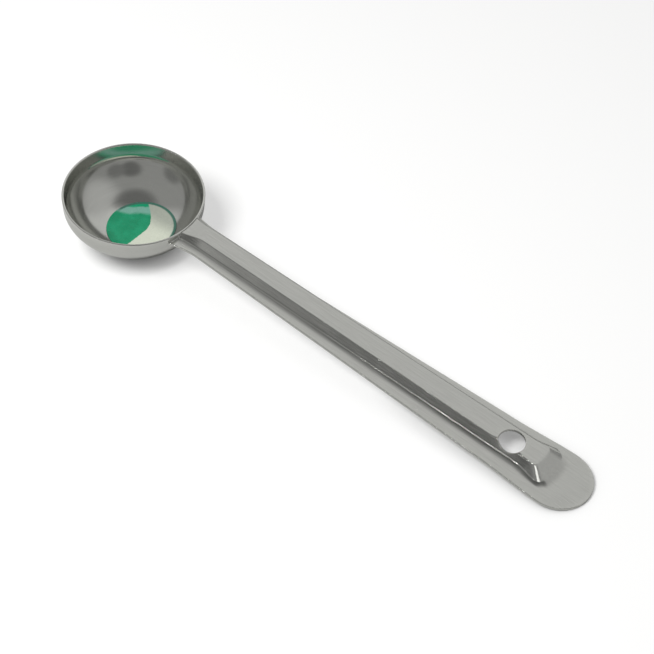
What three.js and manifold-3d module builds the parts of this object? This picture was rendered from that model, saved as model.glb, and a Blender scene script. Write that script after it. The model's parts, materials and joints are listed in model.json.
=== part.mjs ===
// Soup ladle: a drawn steel bowl, a stamped ribbed handle, the weld between them and a round label.
// Units are millimetres, +Z is up. The ladle is drawn with its rim level and its handle along +X,
// then turned to lie as it does on a table, on the bowl's round bottom and the handle's tip.
import * as THREE from 'three';
import { mergeVertices } from 'three/addons/utils/BufferGeometryUtils.js';
import Module from 'manifold-3d';

const wasm = await Module();
wasm.setup();

// Bowl
const rimRadius = 35; // outside of the rim
const bowlDepth = 24; // rim to floor, inside
const bowlSheet = 1.2;
const wallStraight = 6; // height of the straight wall under the rim
const wallLean = THREE.MathUtils.degToRad(3);
const cornerRound = 9; // inside radius of the bend between the straight wall and the round bottom
const cornerLean = THREE.MathUtils.degToRad(28.5); // lean of the wall where that bend ends
const bowlSides = 72;

// Handle, seen from above
const tipReach = 268; // bowl axis to the tip
const tipRadius = 16; // round end of the tongue
const tongueLength = 53; // tip back to where the strip starts to spread
const neckWidth = 17.4;
const gripWidth = 28.4; // strip width where the tongue starts
const neckX = 48;
const rootFlare = 3.2; // each side, where the strip meets the bowl

// Handle, in section
const handleSheet = 1.3;
const crownLift = 2.2; // rib top above the rim
const ribOffset = 2.3; // rib middle from the strip's middle, towards +Y
const neckCrown = 9.4; // flat top of the rib
const endCrown = 11.6;
const neckRise = 5; // rib height above the margins
const endRise = 4.1;
const wallRun = 2.4; // plan width of the rib's side wall
const crownRound = 1.8; // outside radius along the rib's top edges
const footRound = 3; // inside radius along the rib's foot, where the margin is wide enough
const leastMargin = 0.8; // narrowest margin beside the rib
const leastFlat = 0.3; // its flat part

// Rib's end, with places measured back from the tip
const ribEndToTip = 30; // last plain section
const crownToTip = 25.2; // end of the flat top
const crownCorner = 2; // its corner radius, seen from above
const footToTip = 18.4; // foot of the end's slope
const footCorner = 3.8;
const endBow = 0.4; // the end bows out by this in its middle
const ribSpreadLength = 15; // the rib grows wider over this length
const ribSpreadToTip = 21; // and is widest from here on
const crownSpread = 1.6;
const cornerRun = 4.4; // plan width of the side wall at the end's corners

// Hanging hole
const holeToTip = 41.4;
const holeRadius = 6.2; // punched in the flat strip, before the rib is formed
const holeSides = 48;

// Weld and label
const weldGap = 0.3; // joint clearance between handle, weld and bowl
const weldLeg = 3;
const weldLegOnCrown = 0.5;
const weldToe = 0.05; // thickness at the fillet's two edges
const labelRadius = 17.4;
const labelX = 3.6; // label's middle from the bowl's axis
const labelY = 1.1;
const labelFilm = 0.2;
const labelGlue = 0.1;
const labelSides = 64;

const samePoint = 1e-4; // points closer than this are one point
const shortEdge = 0.005; // shorter edges left by a cut are removed

const steel = { color: 0xb9bab5, metalness: 1 };

// Bowl profile: straight wall, tighter bend, round bottom, flat floor
const rimInside = rimRadius - bowlSheet;
const cornerRadius = rimInside - wallStraight * Math.tan(wallLean) - cornerRound * Math.cos(wallLean);
const cornerHeight = cornerRound * Math.sin(wallLean) - wallStraight;
const cornerEnd = cornerHeight - cornerRound * Math.sin(cornerLean);
const bowlRound = (bowlDepth + cornerEnd) / (1 - Math.sin(cornerLean));
const floorRadius = cornerRadius - (bowlRound - cornerRound) * Math.cos(cornerLean);
const arcHeight = bowlRound - bowlDepth;

// Points from the axis out to the straight wall, moved out of the bowl's inside face by a distance
function bowlCurve(outward) {
  const points = [new THREE.Vector2(0, -bowlDepth - outward)];
  const arc = (across, height, radius, from, to, steps) => {
    for (let i = 0; i <= steps; i++) {
      const lean = THREE.MathUtils.lerp(from, to, i / steps);
      points.push(new THREE.Vector2(across + radius * Math.cos(lean), height - radius * Math.sin(lean)));
    }
  };
  arc(floorRadius, arcHeight, bowlRound + outward, Math.PI / 2, cornerLean, 11);
  points.pop(); // the two arcs share this point
  arc(cornerRadius, cornerHeight, cornerRound + outward, cornerLean, wallLean, 5);
  return points;
}

function bowlGeometry() {
  const inside = bowlCurve(0);
  const outside = bowlCurve(bowlSheet);
  const rim = [];
  const rimSteps = 8;
  const half = bowlSheet / 2;
  for (let i = 0; i <= rimSteps; i++) {
    const angle = Math.PI - (i / rimSteps) * Math.PI;
    rim.push(new THREE.Vector2(rimRadius - half + half * Math.cos(angle), half * Math.sin(angle) - half));
  }
  const profile = [...inside, ...rim, ...outside.reverse()].reverse();
  return new THREE.LatheGeometry(profile, bowlSides).rotateX(Math.PI / 2);
}

// Distance from the bowl's axis to its outside face, with the joint clearance, at a height
function outsideRadius(height) {
  if (height > -wallStraight) return rimRadius + Math.min(height, 0) * Math.tan(wallLean) + weldGap;
  const radius = cornerRound + bowlSheet;
  return cornerRadius + Math.sqrt(radius ** 2 - (height - cornerHeight) ** 2) + weldGap;
}

// Places along the handle
const tipX = tipReach - tipRadius; // middle of the round end
const tongueX = tipReach - tongueLength;
const ribEndStart = tipReach - ribEndToTip;
const crownEndX = tipReach - crownToTip;
const footEndX = tipReach - footToTip;
const ribSpreadEnd = tipReach - ribSpreadToTip;
const holeX = tipReach - holeToTip;

const smooth = (value, from, to) => THREE.MathUtils.smoothstep(value, from, to);
const alongRib = (x, atNeck, atEnd) => THREE.MathUtils.mapLinear(x, neckX, ribEndStart, atNeck, atEnd);
const crownWidth = (x) => alongRib(x, neckCrown, endCrown);
const rise = (x) => alongRib(x, neckRise, endRise);
const crownTop = (x) => crownLift * smooth(x, rimRadius, neckX);
const marginTop = (x) => crownLift - rise(Math.max(x, neckX));
const flare = (x) => rootFlare * (1 - Math.sqrt(smooth(x, rimRadius, neckX)));

function stripHalf(x) {
  const straight = THREE.MathUtils.mapLinear(Math.min(x, tongueX), neckX, tongueX, neckWidth, gripWidth) / 2;
  return THREE.MathUtils.lerp(straight, tipRadius, smooth(x, tongueX, tipX)) + flare(x);
}

// Half widths of the rib at its top and at its foot
const spread = (x) => smooth(x, ribSpreadEnd - ribSpreadLength, ribSpreadEnd);
const crownHalf = (x) => (crownWidth(x) + crownSpread * spread(x) + flare(x)) / 2;
const footHalf = (x) => crownHalf(x) + THREE.MathUtils.lerp(wallRun, cornerRun, spread(x));

// Stations run along the near side of the rib, round its end and back along the far side
const sideSteps = 30;
const endSteps = 30;
const lastStation = 2 * sideSteps + endSteps;

function station(index) {
  const side = index <= lastStation / 2 ? -1 : 1;
  const place = (x, half, middle) => new THREE.Vector2(x, middle + side * half);
  const step = Math.min(index, lastStation - index);
  const onSide = step <= sideSteps;
  const rootStep = 8;
  const x = step <= rootStep
    ? THREE.MathUtils.lerp(rimRadius, neckX, step / rootStep)
    : THREE.MathUtils.lerp(neckX, ribEndStart, Math.min((step - rootStep) / (sideSteps - rootStep), 1));
  const way = (2 * (step - sideSteps)) / endSteps;
  const outline = (halfAt, last, corner) => (onSide ? [x, halfAt(x)] : roundEnd(way, halfAt, last, corner));
  const crown = place(...outline(crownHalf, crownEndX, crownCorner), ribOffset);
  const foot = place(...outline(footHalf, footEndX, footCorner), ribOffset);
  const margin = Math.max(stripHalf(x), side * foot.y + leastMargin);
  const edge = place(...(onSide ? [x, margin] : tongueEdge(way)), 0);
  const inward = crown.clone().sub(foot);
  return { x, foot, inward: inward.clone().normalize(), run: inward.length(), edge };
}

// Place along X and half width round the rib's end, from its side at 0 over the corner to its middle at 1
function roundEnd(way, halfAt, last, corner) {
  const cornerX = last - endBow - corner;
  const half = halfAt(cornerX);
  if (way < 1 / 3) {
    const x = THREE.MathUtils.lerp(ribEndStart, cornerX, 3 * way);
    return [x, halfAt(x)];
  }
  if (way < 2 / 3) {
    const angle = ((3 * way - 1) * Math.PI) / 2;
    return [cornerX + corner * Math.sin(angle), half - corner + corner * Math.cos(angle)];
  }
  const fromMiddle = 3 - 3 * way;
  return [last - endBow * fromMiddle ** 2, (half - corner) * fromMiddle];
}

// Outline of the tongue: the strip's side up to the round tip, then the tip's arc
function tongueEdge(way) {
  const quarter = (tipRadius * Math.PI) / 2;
  const fromTip = (1 - way) * (tipX - ribEndStart + quarter);
  if (fromTip <= quarter) {
    const arc = fromTip / tipRadius;
    return [tipX + tipRadius * Math.cos(arc), tipRadius * Math.sin(arc)];
  }
  const x = tipX - (fromTip - quarter);
  return [x, stripHalf(x)];
}

// The rib's side in section: distance in from the foot line, height and outward normal
function ribSide(run, height, margin) {
  const slope = Math.atan2(height, run);
  const tangent = Math.tan(slope / 2);
  const foot = Math.min(footRound, (margin - leastFlat) / tangent);
  const steps = 4;
  const points = [];
  for (let i = 0; i <= steps; i++) {
    const angle = (slope * i) / steps;
    points.push({
      inset: foot * (Math.sin(angle) - tangent),
      height: foot * (1 - Math.cos(angle)),
      normal: [-Math.sin(angle), Math.cos(angle)],
    });
  }
  for (let i = 0; i <= steps; i++) {
    const angle = slope * (1 - i / steps);
    points.push({
      inset: run + crownRound * (tangent - Math.sin(angle)),
      height: height - crownRound * (1 - Math.cos(angle)),
      normal: [-Math.sin(angle), Math.cos(angle)],
    });
  }
  return points;
}

// From the strip's edge to the crown at one station, at a depth below the top face
function stationLine(index, depth) {
  const { x, foot, inward, run, edge } = station(index);
  const low = marginTop(x);
  const line = [new THREE.Vector3(edge.x, edge.y, low - depth)];
  const margin = edge.distanceTo(foot);
  for (const { inset, height, normal } of ribSide(run, crownTop(x) - low, margin)) {
    const reach = inset - depth * normal[0];
    line.push(new THREE.Vector3(
      foot.x + inward.x * reach,
      foot.y + inward.y * reach,
      low + height - depth * normal[1],
    ));
  }
  return line;
}

// The whole width of the strip, from the near edge over the crown to the far edge
function stripRow(index, depth) {
  const crownSteps = 6;
  const near = stationLine(index, depth);
  const far = stationLine(lastStation - index, depth).reverse();
  const crown = [];
  for (let i = 1; i < crownSteps; i++) crown.push(near.at(-1).clone().lerp(far[0], i / crownSteps));
  const row = [...near, ...crown, ...far];
  // The root end follows the bowl's outside
  const fade = 1 - smooth(station(index).x, rimRadius, neckX);
  for (const point of row) {
    const wall = Math.sqrt(outsideRadius(point.z) ** 2 - point.y ** 2);
    point.x += fade * (wall - rimRadius);
  }
  return row;
}

class Mesher {
  positions = [];
  indices = [];
  row(points) {
    return points.map((point) => this.positions.push(point.x, point.y, point.z) / 3 - 1);
  }
  quad(a, b, c, d) {
    this.indices.push(a, b, c, a, c, d);
  }
  geometry() {
    const loose = new THREE.BufferGeometry();
    loose.setAttribute('position', new THREE.Float32BufferAttribute(this.positions, 3));
    loose.setIndex(this.indices);
    const geometry = mergeVertices(loose, samePoint);
    const kept = [];
    const { array } = geometry.index;
    for (let i = 0; i < array.length; i += 3) {
      const [a, b, c] = array.slice(i, i + 3);
      if (a !== b && b !== c && c !== a) kept.push(a, b, c);
    }
    geometry.setIndex(kept);
    return geometry;
  }
}

function stripGeometry() {
  const mesh = new Mesher();
  const rowCount = lastStation / 2 + 1;
  const face = (depth) => Array.from({ length: rowCount }, (_, i) => mesh.row(stripRow(i, depth)));
  const top = face(0);
  const under = face(handleSheet);
  const far = top[0].length - 1;
  for (let i = 0; i + 1 < rowCount; i++) {
    for (let k = 0; k < far; k++) {
      mesh.quad(top[i][k], top[i + 1][k], top[i + 1][k + 1], top[i][k + 1]);
      mesh.quad(under[i][k + 1], under[i + 1][k + 1], under[i + 1][k], under[i][k]);
    }
    mesh.quad(under[i][0], under[i + 1][0], top[i + 1][0], top[i][0]);
    mesh.quad(top[i][far], top[i + 1][far], under[i + 1][far], under[i][far]);
  }
  for (let k = 0; k < far; k++) mesh.quad(under[0][k], top[0][k], top[0][k + 1], under[0][k + 1]);
  return mesh.geometry();
}

function toManifold(geometry) {
  const plain = geometry.clone();
  plain.deleteAttribute('normal');
  plain.deleteAttribute('uv');
  const merged = mergeVertices(plain, samePoint);
  return new wasm.Manifold(new wasm.Mesh({
    numProp: 3,
    vertProperties: new Float32Array(merged.attributes.position.array),
    triVerts: new Uint32Array(merged.index.array),
  }));
}

function fromManifold(solid) {
  const { vertProperties, triVerts } = solid.getMesh();
  const geometry = new THREE.BufferGeometry();
  geometry.setAttribute('position', new THREE.BufferAttribute(vertProperties, 3));
  geometry.setIndex(new THREE.BufferAttribute(triVerts, 1));
  return geometry;
}

// The near side of the round hole bends down with the rib's wall, so it is shorter seen from above
function holeOutline() {
  const shoulder = ribOffset - crownWidth(holeX) / 2;
  const shorter = wallRun / Math.hypot(wallRun, rise(holeX));
  const points = [];
  for (let i = 0; i < holeSides; i++) {
    const angle = (i / holeSides) * 2 * Math.PI;
    const flat = holeRadius * Math.sin(angle);
    const y = flat > shoulder ? flat : shoulder + (flat - shoulder) * shorter;
    points.push(new THREE.Vector2(holeX + holeRadius * Math.cos(angle), y));
  }
  return new THREE.Shape(points);
}

function handleGeometry() {
  const depth = 2 * (endRise + handleSheet);
  const punch = new THREE.ExtrudeGeometry(holeOutline(), { depth, bevelEnabled: false });
  punch.translate(0, 0, crownLift - depth / 2 - handleSheet);
  const cut = toManifold(stripGeometry()).subtract(toManifold(punch));
  return fromManifold(cut.asOriginal().simplify(shortEdge));
}

// A round film laid in the bowl, following its floor
function labelGeometry() {
  const mesh = new Mesher();
  const rings = 12;
  const face = (lift) => Array.from({ length: rings + 1 }, (_, i) => mesh.row(
    Array.from({ length: labelSides }, (__, j) => {
      const angle = (j / labelSides) * 2 * Math.PI;
      const reach = (labelRadius * i) / rings;
      const point = new THREE.Vector2(labelX + reach * Math.cos(angle), labelY + reach * Math.sin(angle));
      const lean = Math.asin(Math.max(point.length() - floorRadius, 0) / bowlRound);
      const round = bowlRound - lift;
      point.setLength(point.length() - lift * Math.sin(lean));
      return new THREE.Vector3(point.x, point.y, arcHeight - round * Math.cos(lean));
    }),
  ));
  const under = face(labelGlue);
  const top = face(labelGlue + labelFilm);
  for (let j = 0; j < labelSides; j++) {
    const k = (j + 1) % labelSides;
    for (let i = 0; i < rings; i++) {
      mesh.quad(top[i][j], top[i + 1][j], top[i + 1][k], top[i][k]);
      mesh.quad(under[i][k], under[i + 1][k], under[i + 1][j], under[i][j]);
    }
    mesh.quad(top[rings][j], under[rings][j], under[rings][k], top[rings][k]);
  }
  return mesh.geometry();
}

// A concave fillet of weld laid over the handle's root, from one edge of the strip to the other
function weldGeometry() {
  const seat = stripRow(0, -weldGap);
  const outer = stripRow(0, -weldGap - 1);
  const mesh = new Mesher();
  const steps = 5;
  const rows = seat.map((base, k) => {
    const lift = outer[k].clone().sub(base).setX(0).normalize();
    const leg = THREE.MathUtils.lerp(weldLeg, weldLegOnCrown, smooth(base.z, -weldLeg, 0));
    const at = (out, away) => {
      const point = base.clone().addScaledVector(lift, out);
      point.x = Math.sqrt(outsideRadius(point.z) ** 2 - point.y ** 2) + away;
      return point;
    };
    const ring = [at(0, 0)];
    for (let i = 0; i <= steps; i++) {
      const angle = (i / steps) * (Math.PI / 2);
      ring.push(at(leg * (1 - Math.cos(angle)) + weldToe, leg * (1 - Math.sin(angle)) + weldToe));
    }
    return mesh.row(ring);
  });
  const count = rows[0].length;
  for (let k = 0; k + 1 < rows.length; k++) {
    for (let i = 0; i < count; i++) {
      const j = (i + 1) % count;
      mesh.quad(rows[k][i], rows[k + 1][i], rows[k + 1][j], rows[k][j]);
    }
  }
  for (let i = 1; i + 1 < count; i++) {
    mesh.indices.push(rows[0][0], rows[0][i], rows[0][i + 1]);
    mesh.indices.push(rows.at(-1)[0], rows.at(-1)[i + 1], rows.at(-1)[i]);
  }
  return mesh.geometry();
}

function piece(name, geometry, look) {
  const mesh = new THREE.Mesh(geometry, new THREE.MeshStandardMaterial(look));
  mesh.name = name;
  return mesh;
}

const ladle = new THREE.Group();
ladle.name = 'ladle';
ladle.add(piece('bowl', bowlGeometry(), { ...steel, roughness: 0.16 }));
ladle.add(piece('handle', handleGeometry(), { ...steel, roughness: 0.24 }));
ladle.add(piece('root_weld', weldGeometry(), { ...steel, roughness: 0.3 }));
ladle.add(piece('label', labelGeometry(), { color: 0x18966a, metalness: 0, roughness: 0.3 }));

// Lying on a table: the bowl's round bottom and the underside of the tip touch the same plane
const tipUnder = marginTop(ribEndStart) - handleSheet;
const span = tipReach - floorRadius;
const drop = arcHeight - tipUnder;
const restTilt = Math.asin((bowlRound + bowlSheet) / Math.hypot(span, drop)) - Math.atan2(drop, span);
ladle.rotation.y = restTilt;

// The origin is under the middle of the whole, on the table
const object = new THREE.Group();
object.name = 'soup_ladle';
object.add(ladle);
object.updateMatrixWorld(true);
const bounds = new THREE.Box3().setFromObject(object, true);
const middle = bounds.getCenter(new THREE.Vector3());
ladle.position.set(-middle.x, -middle.y, -bounds.min.z);

export default object;
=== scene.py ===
"""Soup ladle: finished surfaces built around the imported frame, with the camera, floor and light."""
import json
import math

import bmesh
import bpy
import numpy as np
from mathutils import Matrix, Quaternion, Vector


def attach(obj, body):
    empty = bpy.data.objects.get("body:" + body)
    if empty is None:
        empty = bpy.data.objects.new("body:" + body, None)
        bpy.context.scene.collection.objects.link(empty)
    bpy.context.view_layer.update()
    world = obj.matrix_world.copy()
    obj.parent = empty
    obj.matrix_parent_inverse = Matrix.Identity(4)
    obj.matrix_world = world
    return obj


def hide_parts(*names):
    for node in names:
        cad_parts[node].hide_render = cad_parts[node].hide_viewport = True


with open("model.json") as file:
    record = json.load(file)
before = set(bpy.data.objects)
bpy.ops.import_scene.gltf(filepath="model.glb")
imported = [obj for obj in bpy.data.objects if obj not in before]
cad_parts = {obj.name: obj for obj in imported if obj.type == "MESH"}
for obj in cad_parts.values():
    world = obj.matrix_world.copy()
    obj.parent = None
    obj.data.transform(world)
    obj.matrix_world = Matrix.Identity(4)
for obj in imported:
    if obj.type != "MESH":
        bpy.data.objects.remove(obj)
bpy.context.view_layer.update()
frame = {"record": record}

# Shapes are worked out in millimetres in the ladle's own frame: rim level at height 0, handle along +X
MM = 0.001

# Bowl
RIM_RADIUS = 35
BOWL_DEPTH = 24
BOWL_SHEET = 1.2
WALL_STRAIGHT = 6
WALL_LEAN = math.radians(3)
CORNER_ROUND = 9  # tighter bend between the straight wall and the round bottom
CORNER_LEAN = math.radians(28.5)  # lean of the wall where that bend ends
BOWL_SIDES = 256

# Handle, seen from above
TIP_REACH = 268
TIP_RADIUS = 16
NECK_WIDTH = 17.4
GRIP_WIDTH = 28.4
NECK_X = 48
SPREAD_X = 215
ROOT_FLARE = 3.2

# Handle, in section
HANDLE_SHEET = 1.3
CROWN_LIFT = 2.2
RIB_OFFSET = 2.3
NECK_CROWN = 9.4
END_CROWN = 11.6
NECK_RISE = 5
END_RISE = 4.1
NECK_RUN = 2.5  # plan width of the rib's side wall
END_RUN = 2.6
NEAR_CROWN_ROUND = 0.45
FAR_CROWN_ROUND = 2
END_CROWN_ROUND = 0.8
NOSE_CROWN_ROUND = 2.6
CREASE_ROUND = 1.5  # tight bend at the rib's foot
CREASE_SLOPE = math.radians(13)  # where the tight bend gives way to the soft one
CREASE_SHARE = 0.6  # of a narrow margin, most goes to the tight bend
FOOT_ROUND = 15  # soft bend from there out to the flat margin
LEAST_MARGIN = 0.8
LEAST_FLAT = 0.3
RIB_END_START = 238
CROWN_END_X = 242.8
CROWN_CORNER = {-1: 2, 1: 3.2}  # corner radii of the end on the near and far side
FOOT_END_X = 249.6
FOOT_CORNER = {-1: 3.8, 1: 6}
END_BOW = 0.4  # the end bows out by this in its middle
END_SPREAD = (232, 247)  # the rib spreads between these
CORNER_RUN = 4.4
CROWN_SPREAD = 1.6
NOSE_CREASE = 12  # the end's foot is bent more softly than the sides'
EDGE_ROUND = 0.3  # along the cut edges of the strip and the hole

# Hanging hole
HOLE_X = 226.6
HOLE_RADIUS = 6.2
HOLE_PATCH = 9.6  # half length of the stretch of handle that is meshed round the hole

# Weld and label
ROOT_SINK = 0.3  # closes the joint at the root
WELD_SINK = 0.1
WELD_LEG = 1.3
WELD_LEG_ON_CROWN = 0.1
WELD_END_SHARE = 0.2  # the bead thins towards the strip's edges
WELD_TOE = 0.05
LABEL_RADIUS = 17.4
LABEL_X = 3.6
LABEL_Y = 1.1
LABEL_FILM = 0.2
LABEL_GLUE = 0.1

WEAR_REACH = 0.8  # how far the rubbed band runs in from an edge
SAME_POINT = 2e-6  # metres

RIM_INSIDE = RIM_RADIUS - BOWL_SHEET
CORNER_RADIUS = RIM_INSIDE - WALL_STRAIGHT * math.tan(WALL_LEAN) - CORNER_ROUND * math.cos(WALL_LEAN)
CORNER_HEIGHT = CORNER_ROUND * math.sin(WALL_LEAN) - WALL_STRAIGHT
CORNER_END = CORNER_HEIGHT - CORNER_ROUND * math.sin(CORNER_LEAN)
BOWL_ROUND = (BOWL_DEPTH + CORNER_END) / (1 - math.sin(CORNER_LEAN))
FLOOR_RADIUS = CORNER_RADIUS - (BOWL_ROUND - CORNER_ROUND) * math.cos(CORNER_LEAN)
ARC_HEIGHT = BOWL_ROUND - BOWL_DEPTH
TIP_X = TIP_REACH - TIP_RADIUS

# The flat under the bowl tells how the ladle lies
flat = next(m for m in frame["record"]["mounts"] if m["name"] == "base_flat")
up = -Vector(flat["axis"])
tilt = math.asin(up.x)
rim_centre = Vector(flat["pos_m"]) + up * (BOWL_DEPTH + BOWL_SHEET) * MM
place = Matrix.Translation(rim_centre) @ Matrix.Rotation(tilt, 4, "Y") @ Matrix.Scale(MM, 4)


def smooth(value, start, end):
    t = np.clip((value - start) / (end - start), 0, 1)
    return t * t * (3 - 2 * t)


def mix(a, b, share):
    return a + (b - a) * share


def unit(vector):
    return vector / np.linalg.norm(vector)


# Meshes


def piece(name, points, faces, wear, look, node):
    mesh = bpy.data.meshes.new(name)
    mesh.from_pydata([place @ Vector(p) for p in points], [], faces)
    mesh.attributes.new("wear", "FLOAT", "POINT").data.foreach_set("value", np.asarray(wear, np.float32))
    work = bmesh.new()
    work.from_mesh(mesh)
    bmesh.ops.remove_doubles(work, verts=work.verts, dist=SAME_POINT)
    bmesh.ops.dissolve_degenerate(work, edges=work.edges, dist=SAME_POINT)
    bmesh.ops.recalc_face_normals(work, faces=work.faces)
    work.to_mesh(mesh)
    work.free()
    mesh.shade_smooth()
    mesh.materials.append(look)
    obj = bpy.data.objects.new(name, mesh)
    bpy.context.scene.collection.objects.link(obj)
    even = obj.modifiers.new("even_shading", "WEIGHTED_NORMAL")
    even.keep_sharp = False
    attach(obj, "root")
    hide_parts(node)
    return obj


def grid_faces(rows, columns, closed):
    """Quads over points stored row by row."""
    faces = []
    for i in range(rows - 1):
        for j in range(columns if closed else columns - 1):
            k = (j + 1) % columns
            faces.append((i * columns + j, (i + 1) * columns + j, (i + 1) * columns + k, i * columns + k))
    return faces


def make_bowl(look):
    floor_steps, arc_steps, corner_steps, wall_steps, rim_steps = 6, 40, 16, 8, 12

    def face(outward):
        """Distance from the axis and height, from the middle of the floor up to the straight wall."""
        across = np.linspace(0, FLOOR_RADIUS, floor_steps, endpoint=False)
        floor = np.stack([across, np.full(floor_steps, -BOWL_DEPTH - outward)], 1)
        lean = np.linspace(math.pi / 2, CORNER_LEAN, arc_steps, endpoint=False)
        radius = BOWL_ROUND + outward
        arc = np.stack([FLOOR_RADIUS + radius * np.cos(lean), ARC_HEIGHT - radius * np.sin(lean)], 1)
        lean = np.linspace(CORNER_LEAN, WALL_LEAN, corner_steps + 1)
        radius = CORNER_ROUND + outward
        corner = np.stack([CORNER_RADIUS + radius * np.cos(lean), CORNER_HEIGHT - radius * np.sin(lean)], 1)
        return np.vstack([floor, arc, corner])

    half = BOWL_SHEET / 2
    turn = np.linspace(math.pi, 0, rim_steps + 1)
    rim = np.stack([RIM_RADIUS - half + half * np.cos(turn), half * np.sin(turn) - half], 1)
    inside, outside = face(0), face(BOWL_SHEET)[::-1]
    share = np.linspace(0, 1, wall_steps + 1)[1:-1, None]
    inner_wall, outer_wall = mix(inside[-1], rim[0], share), mix(rim[-1], outside[0], share)
    profile = np.vstack([inside, inner_wall, rim, outer_wall, outside])
    angle = np.linspace(0, 2 * math.pi, BOWL_SIDES, endpoint=False)
    points = [
        (radius * math.cos(a), radius * math.sin(a), height) for radius, height in profile for a in angle
    ]
    wear = np.repeat(np.exp(np.minimum(profile[:, 1] + half, 0) / WEAR_REACH), BOWL_SIDES)
    faces = grid_faces(len(profile), BOWL_SIDES, True)
    return piece("bowl_shell", points, faces, wear, look, "bowl")


def outside_radius(height):
    """Distance from the bowl's axis to the handle's root, which sinks a little into the bowl's wall."""
    return RIM_RADIUS + np.minimum(height, 0) * math.tan(WALL_LEAN) - ROOT_SINK


def along_rib(x, at_neck, at_end):
    return mix(at_neck, at_end, (x - NECK_X) / (RIB_END_START - NECK_X))


def crown_top(x):
    return CROWN_LIFT * smooth(x, RIM_RADIUS, NECK_X)


def margin_top(x):
    return CROWN_LIFT - along_rib(max(x, NECK_X), NECK_RISE, END_RISE)


def flare(x):
    return ROOT_FLARE * (1 - math.sqrt(smooth(x, RIM_RADIUS, NECK_X)))


def strip_half(x):
    straight = mix(NECK_WIDTH, GRIP_WIDTH, (min(x, SPREAD_X) - NECK_X) / (SPREAD_X - NECK_X)) / 2
    return mix(straight, TIP_RADIUS, smooth(x, SPREAD_X, TIP_X)) + flare(x)


def crown_half(x):
    return (along_rib(x, NECK_CROWN, END_CROWN) + CROWN_SPREAD * smooth(x, *END_SPREAD) + flare(x)) / 2


def foot_half(x):
    return crown_half(x) + mix(along_rib(x, NECK_RUN, END_RUN), CORNER_RUN, smooth(x, *END_SPREAD))


def round_end(way, half_at, last, corner):
    """A point on the way round the rib's end, from its side at 0 over the corner to its middle at 1."""
    corner_x = last - END_BOW - corner
    half = half_at(corner_x)
    if way < 1 / 3:
        x = mix(RIB_END_START, corner_x, 3 * way)
        return np.array([x, half_at(x)])
    if way < 2 / 3:
        turn = (3 * way - 1) * math.pi / 2
        return np.array([corner_x + corner * math.sin(turn), half - corner + corner * math.cos(turn)])
    from_middle = 3 - 3 * way
    return np.array([last - END_BOW * from_middle ** 2, (half - corner) * from_middle])


def tongue_edge(way):
    """Outline of the tongue, from the strip's side at the rib's end round to the middle of the tip."""
    quarter = TIP_RADIUS * math.pi / 2
    from_tip = (1 - way) * (TIP_X - RIB_END_START + quarter)
    if from_tip <= quarter:
        arc = from_tip / TIP_RADIUS
        return np.array([TIP_X + TIP_RADIUS * math.cos(arc), TIP_RADIUS * math.sin(arc)])
    x = TIP_X - (from_tip - quarter)
    return np.array([x, strip_half(x)])


# How finely the handle is meshed, across the strip and then along it
MARGIN_STEPS = 6
ARC_STEPS = 8
WALL_STEPS = 3
CROWN_STEPS = 24
EDGE_STEPS = 4
ROOT_ROWS = 20
GRIP_ROWS = 60
HOLE_ROWS = 24
LAST_ROWS = 4
END_ROWS = 49
HOLE_RINGS = 13
RING_CROWDING = 1.5  # the rings round the hole lie closer towards it


def bend(radius, start, end):
    """Plan distance, height and slope along an arc whose slope goes from start to end."""
    turn = np.linspace(start, end, ARC_STEPS + 1)
    way = math.copysign(radius, end - start)
    plan, height = way * (np.sin(turn) - math.sin(start)), way * (math.cos(start) - np.cos(turn))
    return np.stack([plan, height, turn], 1)


def side_profile(run, height, margin, crease_round, crown_round):
    """The rib's side in section, from foot to crown: distance in from the foot line, height and slope."""
    slope = math.atan2(height, run)

    def reach(start, end):
        """How far a bend of radius 1 carries the foot outwards."""
        return math.sin(end) - math.sin(start) - (math.cos(start) - math.cos(end)) / math.tan(slope)

    room = margin - LEAST_FLAT - EDGE_ROUND
    tight = min(crease_round, CREASE_SHARE * room / reach(CREASE_SLOPE, slope))
    soft = min(FOOT_ROUND, (room - tight * reach(CREASE_SLOPE, slope)) / reach(0, CREASE_SLOPE))
    foot = bend(soft, 0, CREASE_SLOPE)
    crease = bend(tight, CREASE_SLOPE, slope) + (*foot[-1, :2], 0)
    crown = bend(crown_round, slope, 0)
    lower = np.vstack([foot[:-1], crease])
    # The straight wall between the bends takes up the height that they leave
    left = height - lower[-1, 1] - crown[-1, 1]
    crown += (*(lower[-1, :2] + (left / math.tan(slope), left)), 0)
    share = np.linspace(0, 1, WALL_STEPS + 1)[1:-1, None]
    profile = np.vstack([lower, mix(lower[-1], crown[0], share), crown])
    profile[:, 0] += run - profile[-1, 0] + crown_round * math.tan(slope / 2)
    return profile


def under_profile(profile):
    """The underside of that section; under a bend that is tighter than the sheet it has a plain corner."""
    distance = profile[:, 0] + HANDLE_SHEET * np.sin(profile[:, 2])
    height = profile[:, 1] - HANDLE_SHEET * np.cos(profile[:, 2])
    wall = len(profile) - ARC_STEPS - 1
    corner = distance[wall] + (height[-1] - height[wall]) / math.tan(profile[wall, 2])
    past = distance > corner
    past[wall:] |= corner > distance[-1]
    distance[past] = max(corner, distance[-1])
    height[past] = height[-1]
    return distance, height


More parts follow.
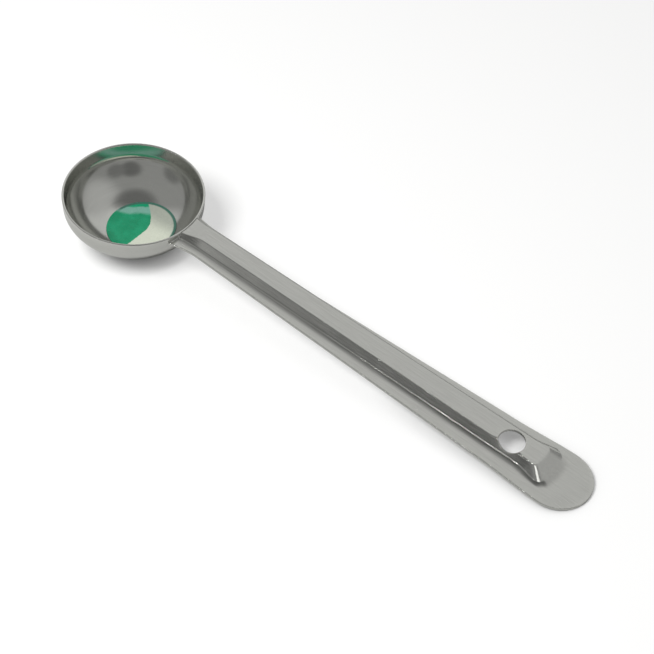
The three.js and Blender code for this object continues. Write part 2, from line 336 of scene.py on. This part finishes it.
def half_row(x, way, side):
    """The top face and the underside on one side of the rib, from the strip's edge to the crown."""
    mirror = np.array([1, side])
    middle = np.array([0, RIB_OFFSET])
    crease_round = CREASE_ROUND
    if side < 0:
        crown_round = mix(NEAR_CROWN_ROUND, END_CROWN_ROUND, smooth(x, HOLE_X, RIB_END_START))
    else:
        crown_round = FAR_CROWN_ROUND
    if way is None:
        crown = np.array([x, crown_half(x)]) * mirror + middle
        foot = np.array([x, foot_half(x)]) * mirror + middle
        edge = np.array([x, max(strip_half(x), side * foot[1] + LEAST_MARGIN)]) * mirror
    else:
        crown = round_end(way, crown_half, CROWN_END_X, CROWN_CORNER[side]) * mirror + middle
        foot = round_end(way, foot_half, FOOT_END_X, FOOT_CORNER[side]) * mirror + middle
        edge = tongue_edge(way) * mirror
        crease_round = mix(CREASE_ROUND, NOSE_CREASE, smooth(way, 1 / 2, 2 / 3))
        crown_round = mix(crown_round, NOSE_CROWN_ROUND, smooth(way, 1 / 3, 2 / 3))
    run = np.linalg.norm(crown - foot)
    inward = (crown - foot) / run
    low = margin_top(x)
    profile = side_profile(run, crown_top(x) - low, np.linalg.norm(edge - foot), crease_round, crown_round)
    distance, height = under_profile(profile)
    wall = np.column_stack([foot + inward * profile[:, :1], low + profile[:, 1]])
    wall_under = np.column_stack([foot + inward * distance[:, None], low + height])
    outward = np.append(unit(edge - wall[0, :2]), 0)
    start = np.append(edge, low) - EDGE_ROUND * outward
    share = np.linspace(0, 1, MARGIN_STEPS, endpoint=False)[:, None]
    margin = mix(start, wall[0], share)
    top = np.vstack([margin, wall])
    under = np.vstack([margin - (0, 0, HANDLE_SHEET), wall_under])
    return top, under, outward


HALF_COLUMNS = MARGIN_STEPS + 3 * ARC_STEPS + WALL_STEPS + 1


def strip_row(x, way=None):
    """The whole top face and underside at one station, and the outward direction at its two edges."""
    near, near_under, near_out = half_row(x, way, -1)
    far, far_under, far_out = half_row(x, way, 1)
    share = np.linspace(0, 1, CROWN_STEPS + 1)[1:-1, None]
    top = np.vstack([near, mix(near[-1], far[-1], share), far[::-1]])
    under = np.vstack([near_under, mix(near_under[-1], far_under[-1], share), far_under[::-1]])
    return top, under, near_out, far_out


def rounded_edge(point, outward):
    """Points round the cut edge of the strip, from its top face down to its underside."""
    turn = np.linspace(0, math.pi / 2, EDGE_STEPS + 1)[1:, None]
    rise = np.array([0, 0, 1.0])
    upper = point + EDGE_ROUND * ((np.cos(turn) - 1) * rise + np.sin(turn) * outward)
    middle = point - HANDLE_SHEET / 2 * rise
    lower = upper[::-1] * (1, 1, -1) + (0, 0, 2 * middle[2])
    return np.vstack([upper, lower])


def cope(points, x):
    """The root end follows the bowl's outside."""
    fade = 1 - smooth(x, RIM_RADIUS, NECK_X)
    wall = np.sqrt(outside_radius(points[:, 2]) ** 2 - points[:, 1] ** 2)
    return points + np.column_stack([fade * (wall - RIM_RADIUS), np.zeros((len(points), 2))])


def strip_loop(x, way=None):
    """Once round the strip at one station: over the top, round the far edge and back underneath."""
    top, under, near_out, far_out = strip_row(x, way)
    far_edge = rounded_edge(top[-1], far_out)
    near_edge = rounded_edge(top[0], near_out)[::-1]
    return cope(np.vstack([top, far_edge, under[::-1], near_edge]), x)


def loop_wear(x, way=None):
    """Rubbed bright along the strip's edges and, less, along the rib's top edges."""
    top, _, _, _ = strip_row(x, way)
    length = np.append(0, np.cumsum(np.linalg.norm(np.diff(top, axis=0), axis=1)))
    edge = np.exp(-np.minimum(length, length[-1] - length) / WEAR_REACH)
    ridge = np.zeros(len(top))
    arc = np.sin(np.linspace(0, math.pi, ARC_STEPS + 1)) / 2
    ridge[HALF_COLUMNS - ARC_STEPS - 1:HALF_COLUMNS] = arc
    ridge[-HALF_COLUMNS:len(top) - HALF_COLUMNS + ARC_STEPS + 1] = arc
    rounding = np.ones(2 * EDGE_STEPS)
    return np.concatenate([np.maximum(edge, ridge), rounding, edge[::-1], rounding])


def blank_length(points):
    """Distance across the flat blank, measured from the strip's middle."""
    steps = np.linalg.norm(np.diff(points, axis=0), axis=1)
    length = np.append(0, np.cumsum(steps))
    middle = len(points) // 2
    return length - length[middle] + points[middle, 1]


def sheet_at(x, across, depth):
    """The point at a place in the flat blank, at a depth below the top face."""
    top, under, _, _ = strip_row(x)
    layer = mix(top, under, depth / HANDLE_SHEET)
    length = blank_length(top)
    return np.array([x, np.interp(across, length, layer[:, 1]), np.interp(across, length, layer[:, 2])])


def stretch(start, end, rows):
    """Stations along the strip before the rib's end."""
    return [(x, None) for x in np.linspace(start, end, rows, endpoint=False)]


def make_handle(look):
    patch_start, patch_end = HOLE_X - HOLE_PATCH, HOLE_X + HOLE_PATCH
    root = stretch(RIM_RADIUS, NECK_X, ROOT_ROWS)
    grip = stretch(NECK_X, patch_start, GRIP_ROWS)
    round_hole = stretch(patch_start, patch_end, HOLE_ROWS)
    last = stretch(patch_end, RIB_END_START, LAST_ROWS)
    end = [(RIB_END_START, way) for way in np.linspace(0, 1, END_ROWS)]
    stations = root + grip + round_hole + last + end
    loops = np.array([strip_loop(*s) for s in stations])
    rows, columns = loops.shape[:2]
    points = list(loops.reshape(-1, 3))
    wear = list(np.concatenate([loop_wear(*s) for s in stations]))

    # The faces round the hole are left out and meshed in rings instead
    width = 2 * HALF_COLUMNS + CROWN_STEPS - 1
    first = ROOT_ROWS + GRIP_ROWS
    final = first + HOLE_ROWS
    near, far = MARGIN_STEPS, width - HALF_COLUMNS + ARC_STEPS

    def under(k):
        """The column of the underside that lies below a column of the top face."""
        return columns - 1 - 2 * EDGE_STEPS - k

    skipped = set()
    for i in range(first, final):
        for k in range(near, far):
            skipped.update({(i, k), (i, under(k + 1))})
    faces = []
    for face in grid_faces(rows, columns, True):
        if divmod(face[0], columns) not in skipped:
            faces.append(face)
    faces.append(tuple(range(columns)))

    border = [(i, near) for i in range(first, final)] + [(final, k) for k in range(near, far)]
    border += [(i, far) for i in range(final, first, -1)] + [(first, k) for k in range(far, near, -1)]
    lengths = {i: blank_length(strip_row(*stations[i])[0]) for i in range(first, final + 1)}
    spots = np.array([(stations[i][0], lengths[i][k]) for i, k in border])
    angle = np.arctan2(spots[:, 1], spots[:, 0] - HOLE_X)
    ray = np.stack([np.cos(angle), np.sin(angle)], 1)
    centre = np.array([HOLE_X, 0])
    lip = centre + (HOLE_RADIUS + EDGE_ROUND) * ray
    spread = np.linspace(1, 0, HOLE_RINGS + 1)[1:] ** RING_CROWDING
    quarter = np.linspace(0, math.pi / 2, EDGE_STEPS + 1)[1:]
    rings = [(mix(lip, spots, s), 0) for s in spread]
    rings += [
        (centre + (HOLE_RADIUS + EDGE_ROUND * (1 - math.sin(a))) * ray, EDGE_ROUND * (1 - math.cos(a)))
        for a in quarter
    ]
    rings += [(flat_spots, HANDLE_SHEET - depth) for flat_spots, depth in rings[::-1]]
    previous = [i * columns + k for i, k in border]
    last_ring = [i * columns + under(k) for i, k in border]
    for flat_spots, depth in rings:
        current = range(len(points), len(points) + len(border))
        points += [sheet_at(x, across, depth) for x, across in flat_spots]
        wear += list(np.exp((HOLE_RADIUS - np.linalg.norm(flat_spots - centre, axis=1)) / WEAR_REACH))
        faces += [
            (previous[m], previous[m - 1], current[m - 1], current[m]) for m in range(len(border))
        ]
        previous = current
    faces += [(previous[m], previous[m - 1], last_ring[m - 1], last_ring[m]) for m in range(len(border))]
    return piece("handle_strip", points, faces, wear, look, "handle")


def make_weld(look):
    """A concave fillet laid over the handle's root, from one edge of the strip to the other."""
    steps = 10
    top, under, _, _ = strip_row(RIM_RADIUS)
    normal = (top - under) / np.linalg.norm(top - under, axis=1)[:, None]
    points = []
    for base, lift in zip(top - WELD_SINK * normal, normal):
        leg = mix(WELD_LEG, WELD_LEG_ON_CROWN, smooth(base[2], -WELD_LEG, 0))
        leg *= mix(WELD_END_SHARE, 1, smooth(strip_half(RIM_RADIUS) - abs(base[1]), 0, WELD_LEG))
        corner = [(0, 0)]
        for angle in np.linspace(0, math.pi / 2, steps + 1):
            corner.append((leg * (1 - math.cos(angle)) + WELD_TOE, leg * (1 - math.sin(angle)) + WELD_TOE))
        for out, away in corner:
            spot = base + lift * out
            points.append((math.sqrt(outside_radius(spot[2]) ** 2 - spot[1] ** 2) + away, spot[1], spot[2]))
    columns = steps + 2
    faces = grid_faces(len(top), columns, True)
    faces += [tuple(range(columns)), tuple(range(len(points) - columns, len(points)))]
    return piece("weld_bead", points, faces, np.zeros(len(points)), look, "root_weld")


def make_label(look):
    """A round film laid in the bowl, following its floor."""
    rings, sides = 28, 128

    def face(lift):
        points = []
        for reach in np.linspace(0, LABEL_RADIUS, rings + 1):
            for angle in np.linspace(0, 2 * math.pi, sides, endpoint=False):
                x = LABEL_X + reach * math.cos(angle)
                y = LABEL_Y + reach * math.sin(angle)
                away = math.hypot(x, y)
                lean = math.asin(max(away - FLOOR_RADIUS, 0) / BOWL_ROUND)
                nearer = (away - lift * math.sin(lean)) / away
                points.append((x * nearer, y * nearer, ARC_HEIGHT - (BOWL_ROUND - lift) * math.cos(lean)))
        return points

    points = face(LABEL_GLUE + LABEL_FILM) + face(LABEL_GLUE)[::-1]
    rows = 2 * (rings + 1)
    order = [i * sides + (j if i <= rings else sides - 1 - j) for i in range(rows) for j in range(sides)]
    points = [points[k] for k in order]
    faces = grid_faces(rows, sides, True)
    return piece("label_disc", points, faces, np.zeros(len(points)), look, "label")


# Materials

# Steel: fineness in noise cells for each millimetre, and the stretch of noise that each mark shows
LINE_FINENESS = 2.6
LINE_STRETCH = 0.03  # along the handle the lines are drawn out
LINE_TONES = (0.3, 0.7)
LINE_ROUGH_TONES = (0.25, 0.75)
DULL = 0.95  # share of the tint between the lines
BRIGHT = 1.05  # and on them
SCRATCH_FINENESS = 5
SCRATCH_TONES = (0.62, 0.72)
SCRATCH_SHARE = 0.35
SCRATCH_TINT = 0.8
SMUDGE_FINENESS = 0.07
SMUDGE_TONES = (0.42, 0.72)
RUB_FINENESS = 0.9
RUB_TONES = (0.3, 0.6)
RUB_LEAST = 0.35
RUB_SHARE = 0.6
RUB_TINT = 1.2
LINE_ROUGHNESS = 0.03  # what each adds to the roughness
SMUDGE_ROUGHNESS = 0.05
SCRATCH_ROUGHNESS = 0.06
RUB_ROUGHNESS = 0.05

# Label print, with places in millimetres in the ladle's frame
GREEN_EDGE = (0.05, 0.14, 0.105, 1)
GREEN_DEEP = (0.004, 0.25, 0.115, 1)
GREEN_LIGHT = (0.01, 0.31, 0.15, 1)
CREAM_GREY = (0.36, 0.385, 0.33, 1)
CREAM_LIGHT = (0.64, 0.675, 0.565, 1)
# Painted glare: a pale teal that stands for the film's gloss reflection, laid into its colour
PAINTED_GLARE_TEAL = (0.22, 0.42, 0.36, 1)
CREAM_X = (6.1, 6.5)  # where green gives way to cream
CREAM_BEND_Y = 1  # beyond here that border curves
CREAM_CURVE = 18.9
CREAM_RAGGED = 0.6
CREAM_GREY_Y = (3, 14)  # the cream greys towards the far side
FAR_LEFT = (-0.63, 0.78, 0)
# Where the painted glare lies: a wavy band across the far left part, fading out at its far end
PAINTED_GLARE_WAVE = 3
PAINTED_GLARE_START = (9, 11.5)
PAINTED_GLARE_END = (14, 15.2)
PAINTED_GLARE_SHARE = 0.8
BORDER_REACH = (15.8, 16.6)  # the label's far part is darker green from this far out from its middle
BORDER_Y = (0, 5)
RAGGED_FINENESS = 0.8
MOTTLE_FINENESS = 0.2
GLOSS_FINENESS = 0.5
FILM_TONES = (0.3, 0.7)
FILM_ROUGHNESS = (0.2, 0.34)
FILM_SHINE = 0.35
WRINKLE_FINENESS = 0.25
WRINKLE_HEIGHT = 1e-4  # metres


def new_tree(name):
    material = bpy.data.materials.new(name)
    material.use_nodes = True
    tree = material.node_tree
    tree.nodes.clear()
    return material, tree


def add(tree, kind, inputs=None, **settings):
    """A node with its settings, and its inputs set to values or linked to sockets."""
    node = tree.nodes.new(kind)
    for name, value in settings.items():
        setattr(node, name, value)
    for name, value in (inputs or {}).items():
        if isinstance(value, bpy.types.NodeSocket):
            tree.links.new(value, node.inputs[name])
        else:
            node.inputs[name].default_value = value
    return node


def calc(tree, operation, *values):
    return add(tree, "ShaderNodeMath", dict(enumerate(values)), operation=operation).outputs[0]


def vector_calc(tree, operation, *vectors):
    """The vector that the operation gives, or the number where it measures one."""
    outputs = add(tree, "ShaderNodeVectorMath", dict(enumerate(vectors)), operation=operation).outputs
    return outputs["Value" if operation in ("LENGTH", "DISTANCE", "DOT_PRODUCT") else "Vector"]


def ramp(tree, value, start, end, low=0, high=1):
    """A smooth step from low to high as the value goes from start to end."""
    limits = {"Value": value, "From Min": start, "From Max": end, "To Min": low, "To Max": high}
    return add(tree, "ShaderNodeMapRange", limits, interpolation_type="SMOOTHSTEP").outputs[0]


def blend(tree, share, first, second):
    colours = {"Factor": share, "A": first, "B": second}
    return add(tree, "ShaderNodeMix", colours, data_type="RGBA").outputs["Result"]


def noise(tree, vector, scale, detail, **more):
    inputs = {"Vector": vector, "Scale": scale, "Detail": detail, **more}
    return add(tree, "ShaderNodeTexNoise", inputs, noise_dimensions="4D" if more else "3D").outputs[0]


def ladle_spot(tree):
    """Place on the ladle in millimetres, in its own frame."""
    where = add(tree, "ShaderNodeTexCoord").outputs["Object"]
    frame_of_ladle = {
        "Vector": where,
        "Location": rim_centre,
        "Rotation": (0, tilt, 0),
        "Scale": (MM, MM, MM),
    }
    return add(tree, "ShaderNodeMapping", frame_of_ladle, vector_type="TEXTURE").outputs[0]


def straight_lines(tree, spot, fineness):
    """Polishing lines along the handle."""
    stretched = add(tree, "ShaderNodeMapping", {"Vector": spot, "Scale": (LINE_STRETCH, 1, 1)}).outputs[0]
    return noise(tree, stretched, fineness, 4)


def circular_lines(tree, spot, fineness):
    """Polishing lines round the bowl's axis."""
    flat_spot = vector_calc(tree, "MULTIPLY", spot, (1, 1, 0))
    away = vector_calc(tree, "LENGTH", flat_spot)
    ray = vector_calc(tree, "NORMALIZE", flat_spot)
    height = vector_calc(tree, "MULTIPLY", spot, (0, 0, 1))
    turn = vector_calc(tree, "ADD", ray, height)
    return noise(tree, turn, fineness, 4, W=calc(tree, "MULTIPLY", away, fineness))


def even_grain(tree, spot, fineness):
    return noise(tree, spot, fineness, 4)


def steel(name, grain, tint, roughness, metallic, line_height):
    """Polished sheet: fine lines, hairline scratches, hazy smudges and edges rubbed bright."""
    material, tree = new_tree(name)
    spot = ladle_spot(tree)
    lines = grain(tree, spot, LINE_FINENESS)
    scratches = ramp(tree, grain(tree, spot, SCRATCH_FINENESS), *SCRATCH_TONES)
    smudges = ramp(tree, noise(tree, spot, SMUDGE_FINENESS, 3), *SMUDGE_TONES)
    patchy = ramp(tree, noise(tree, spot, RUB_FINENESS, 2), *RUB_TONES, RUB_LEAST, 1)
    edge = add(tree, "ShaderNodeAttribute", attribute_name="wear").outputs["Fac"]
    rubbed = calc(tree, "MULTIPLY", edge, patchy)
    dull, bright, scratched, worn = [
        (*(share * c for c in tint), 1) for share in (DULL, BRIGHT, SCRATCH_TINT, RUB_TINT)
    ]
    colour = blend(tree, ramp(tree, lines, *LINE_TONES), dull, bright)
    colour = blend(tree, calc(tree, "MULTIPLY", scratches, SCRATCH_SHARE), colour, scratched)
    colour = blend(tree, calc(tree, "MULTIPLY", rubbed, RUB_SHARE), colour, worn)
    rough = ramp(tree, lines, *LINE_ROUGH_TONES, roughness - LINE_ROUGHNESS, roughness + LINE_ROUGHNESS)
    rough = calc(tree, "MULTIPLY_ADD", smudges, SMUDGE_ROUGHNESS, rough)
    rough = calc(tree, "MULTIPLY_ADD", scratches, SCRATCH_ROUGHNESS, rough)
    rough = calc(tree, "MULTIPLY_ADD", rubbed, RUB_ROUGHNESS, rough)
    relief = add(tree, "ShaderNodeBump", {"Height": lines, "Distance": line_height, "Strength": 1})
    surface = {
        "Base Color": colour,
        "Metallic": metallic,
        "Roughness": rough,
        "Normal": relief.outputs[0],
    }
    shader = add(tree, "ShaderNodeBsdfPrincipled", surface)
    add(tree, "ShaderNodeOutputMaterial", {"Surface": shader.outputs[0]})
    return material


def label_film(name):
    """Gloss film printed with a green field and a cream one; a painted glare, a pale teal, lies over the
    green on its far left part.
    """
    material, tree = new_tree(name)
    spot = ladle_spot(tree)
    axes = add(tree, "ShaderNodeSeparateXYZ", {0: spot}).outputs
    past_bend = calc(tree, "MAXIMUM", calc(tree, "SUBTRACT", axes["Y"], CREAM_BEND_Y), 0)
    curve = calc(tree, "DIVIDE", calc(tree, "MULTIPLY", past_bend, past_bend), CREAM_CURVE)
    across = calc(tree, "ADD", axes["X"], curve)
    ragged = calc(tree, "MULTIPLY_ADD", noise(tree, spot, RAGGED_FINENESS, 2), CREAM_RAGGED, across)
    cream = ramp(tree, ragged, *CREAM_X)
    mottled = noise(tree, spot, MOTTLE_FINENESS, 5)
    green = blend(tree, ramp(tree, mottled, *FILM_TONES), GREEN_DEEP, GREEN_LIGHT)
    pale = blend(tree, ramp(tree, axes["Y"], *CREAM_GREY_Y), CREAM_LIGHT, CREAM_GREY)
    far_left = vector_calc(tree, "DOT_PRODUCT", spot, FAR_LEFT)
    # Painted glare of the film's gloss, a pale teal blended over the green
    wavy = calc(tree, "MULTIPLY_ADD", noise(tree, spot, MOTTLE_FINENESS, 2), PAINTED_GLARE_WAVE, far_left)
    painted_glare_end = ramp(tree, wavy, *PAINTED_GLARE_END, PAINTED_GLARE_SHARE, 0)
    painted_glare = calc(tree, "MULTIPLY", ramp(tree, wavy, *PAINTED_GLARE_START), painted_glare_end)
    green = blend(tree, painted_glare, green, PAINTED_GLARE_TEAL)
    colour = blend(tree, cream, green, pale)
    away = vector_calc(tree, "DISTANCE", spot, (LABEL_X, LABEL_Y, LABEL_FILM - BOWL_DEPTH))
    border = calc(tree, "MULTIPLY", ramp(tree, away, *BORDER_REACH), ramp(tree, axes["Y"], *BORDER_Y))
    colour = blend(tree, border, colour, GREEN_EDGE)
    rough = ramp(tree, noise(tree, spot, GLOSS_FINENESS, 3), *FILM_TONES, *FILM_ROUGHNESS)
    folds = noise(tree, spot, WRINKLE_FINENESS, 3)
    wrinkles = add(tree, "ShaderNodeBump", {"Height": folds, "Distance": WRINKLE_HEIGHT, "Strength": 1})
    surface = {
        "Base Color": colour,
        "Roughness": rough,
        "Specular IOR Level": FILM_SHINE,
        "Normal": wrinkles.outputs[0],
    }
    shader = add(tree, "ShaderNodeBsdfPrincipled", surface)
    add(tree, "ShaderNodeOutputMaterial", {"Surface": shader.outputs[0]})
    return material


BOWL_TINT = (0.625, 0.63, 0.595)
HANDLE_TINT = (0.6, 0.604, 0.57)
WELD_TINT = (0.594, 0.6, 0.565)

make_bowl(steel("bowl_steel", circular_lines, BOWL_TINT, roughness=0.11, metallic=0.94, line_height=2e-6))
make_handle(steel("handle_steel", straight_lines, HANDLE_TINT, roughness=0.17, metallic=1, line_height=1e-6))
make_weld(steel("weld_steel", even_grain, WELD_TINT, roughness=0.27, metallic=1, line_height=8e-6))
make_label(label_film("label_film"))


# Camera: place in metres, aim as a direction, roll in radians and lens in millimetres

CAMERA_AT = Vector((0.34292, -0.41875, 0.58980))
CAMERA_AIM = Vector((-0.42730, 0.53048, -0.73212))
CAMERA_ROLL = 0.0023
CAMERA_LENS = 93.578

camera = bpy.data.objects.new("camera", bpy.data.cameras.new("camera"))
bpy.context.scene.collection.objects.link(camera)
camera.location = CAMERA_AT
camera.rotation_mode = "QUATERNION"
camera.rotation_quaternion = CAMERA_AIM.to_track_quat("-Z", "Y") @ Quaternion((0, 0, 1), CAMERA_ROLL)
camera.data.lens = CAMERA_LENS
bpy.context.scene.camera = camera

# Floor and light

FLOOR_HALF = 3.0
FLOOR_COLOUR = (0.58, 0.58, 0.575, 1)
FLOOR_GLOW = 0.46  # brings the lit floor up to white for the camera
FLOOR_GLOW_IN_METAL = 0.03
GLOW_INSIDE = 0.42  # full glow out to here, which is all that the camera frames
GLOW_OUTSIDE = 1.1
SHADE_REACH = 0.009  # close under the handle the glow fades by occlusion, a painted shade over its real shadow

# Surroundings: azimuth from +Y towards +X and elevation of a zone's middle, its inner and outer
# half angles, both in degrees, and its level
STUDIO_LEVEL = 0.38
STUDIO_ZONES = (
    (-62, 34, 16, 40, 0.74),  # pale wall beyond the ladle, to the left
    (-20, 38, 20, 42, 0.83),  # and straight beyond it
    (45, 40, 10, 40, 0.64),  # its dimmer right end
    (-25, -6, 12, 30, 0.12),  # dark foot of that wall
    (-160, 16, 5, 20, 0.19),  # dark place on the camera's side
    (130, 27, 10, 20, 0.16),  # dark corner to the right
    (106, 24, 8, 18, 0.22),
    (0, 88, 10, 28, 0.16),  # ceiling
)

# Lamps: azimuth, elevation, distance, width, height, power, whether metal mirrors them, and the
# one piece they are turned on, if any
LAMPS = (
    ("tube_lamp", -166, 54, 1.1, 0.10, 0.015, 0.32, True, "handle_strip"),
    ("window_lamp", 118, 59, 1.1, 0.36, 0.2, 0.4, True, "handle_strip"),
    ("key_lamp", -154, 57, 1.1, 0.5, 0.5, 9.6, False, None),
)


def towards(azimuth, elevation):
    a, e = math.radians(azimuth), math.radians(elevation)
    return Vector((math.sin(a) * math.cos(e), math.cos(a) * math.cos(e), math.sin(e)))


def make_floor():
    mesh = bpy.data.meshes.new("floor")
    corners = [(-1, -1), (1, -1), (1, 1), (-1, 1)]
    mesh.from_pydata([(x * FLOOR_HALF, y * FLOOR_HALF, 0) for x, y in corners], [], [(0, 1, 2, 3)])
    floor = bpy.data.objects.new("floor", mesh)
    bpy.context.scene.collection.objects.link(floor)
    material, tree = new_tree("floor")
    lit = add(tree, "ShaderNodeBsdfDiffuse", {"Color": FLOOR_COLOUR})
    path = add(tree, "ShaderNodeLightPath")
    seen = calc(tree, "MULTIPLY", path.outputs["Is Camera Ray"], FLOOR_GLOW)
    for ray in ("Is Glossy Ray", "Is Transmission Ray"):
        seen = calc(tree, "MULTIPLY_ADD", path.outputs[ray], FLOOR_GLOW_IN_METAL, seen)
    away = vector_calc(tree, "LENGTH", add(tree, "ShaderNodeNewGeometry").outputs["Position"])
    strength = calc(tree, "MULTIPLY", seen, ramp(tree, away, GLOW_INSIDE, GLOW_OUTSIDE, 1, 0))
    # Painted shade: ambient occlusion dims the glow close under the handle and the bowl
    painted_shade_ao = add(tree, "ShaderNodeAmbientOcclusion", {"Distance": SHADE_REACH}).outputs["AO"]
    strength = calc(tree, "MULTIPLY", strength, painted_shade_ao)
    glow = add(tree, "ShaderNodeEmission", {"Strength": strength})
    both = add(tree, "ShaderNodeAddShader", {0: lit.outputs[0], 1: glow.outputs[0]})
    add(tree, "ShaderNodeOutputMaterial", {"Surface": both.outputs[0]})
    mesh.materials.append(material)


def make_world():
    world = bpy.data.worlds.new("studio")
    bpy.context.scene.world = world
    world.use_nodes = True
    tree = world.node_tree
    tree.nodes.clear()
    direction = add(tree, "ShaderNodeTexCoord").outputs["Generated"]
    level = STUDIO_LEVEL
    for azimuth, elevation, inner, outer, zone_level in STUDIO_ZONES:
        cosine = vector_calc(tree, "DOT_PRODUCT", direction, towards(azimuth, elevation))
        share = ramp(tree, cosine, math.cos(math.radians(outer)), math.cos(math.radians(inner)))
        levels = {"Factor": share, "A": level, "B": zone_level}
        level = add(tree, "ShaderNodeMix", levels, data_type="FLOAT").outputs[0]
    background = add(tree, "ShaderNodeBackground", {"Strength": level})
    add(tree, "ShaderNodeOutputWorld", {"Surface": background.outputs[0]})


def make_lamps():
    for name, azimuth, elevation, distance, width, height, power, mirrored, only in LAMPS:
        lamp = bpy.data.objects.new(name, bpy.data.lights.new(name, "AREA"))
        bpy.context.scene.collection.objects.link(lamp)
        lamp.data.shape = "RECTANGLE"
        lamp.data.size = width
        lamp.data.size_y = height
        lamp.data.energy = power
        lamp.visible_glossy = mirrored
        if only:
            lit = bpy.data.collections.new(name + "_lit")
            lit.objects.link(bpy.data.objects[only])
            lamp.light_linking.receiver_collection = lit
        back = towards(azimuth, elevation)
        lamp.location = back * distance
        lamp.rotation_mode = "QUATERNION"
        lamp.rotation_quaternion = back.to_track_quat("Z", "Y")


make_floor()
make_world()
make_lamps()
bpy.context.scene.view_settings.view_transform = "Standard"
